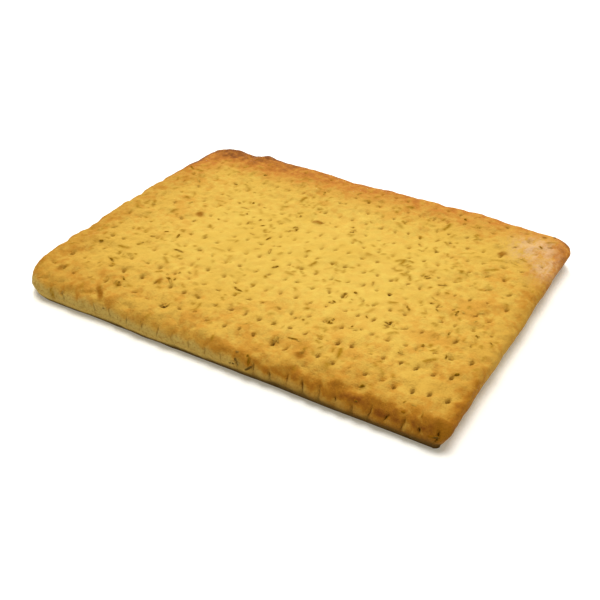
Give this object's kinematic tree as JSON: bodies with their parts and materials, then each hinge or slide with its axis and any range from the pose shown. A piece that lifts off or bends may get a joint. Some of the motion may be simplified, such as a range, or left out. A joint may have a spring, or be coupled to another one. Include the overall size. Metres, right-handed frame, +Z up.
{
  "type": "focaccia",
  "caption": "Rectangular tray-baked focaccia: a flat bread with a round shoulder, a golden crust pricked in staggered rows, and rosemary needles baked into the top.",
  "frame": {"origin": "middle of the flat underside, under the middle of the sheet", "axes": "+X along the long side, +Y from the front long side to the back one, +Z up out of the docked top"},
  "size_m": [0.3999, 0.3089, 0.029],
  "materials": {
    "crust": "dry, matt baked crust, golden on top and browner on the shoulder",
    "rosemary": "dry, dull baked herb needles, which lie in the same solid as the crust"
  },
  "bodies": {
    "root": {"focaccia": "crust"}
  },
  "joints": []
}
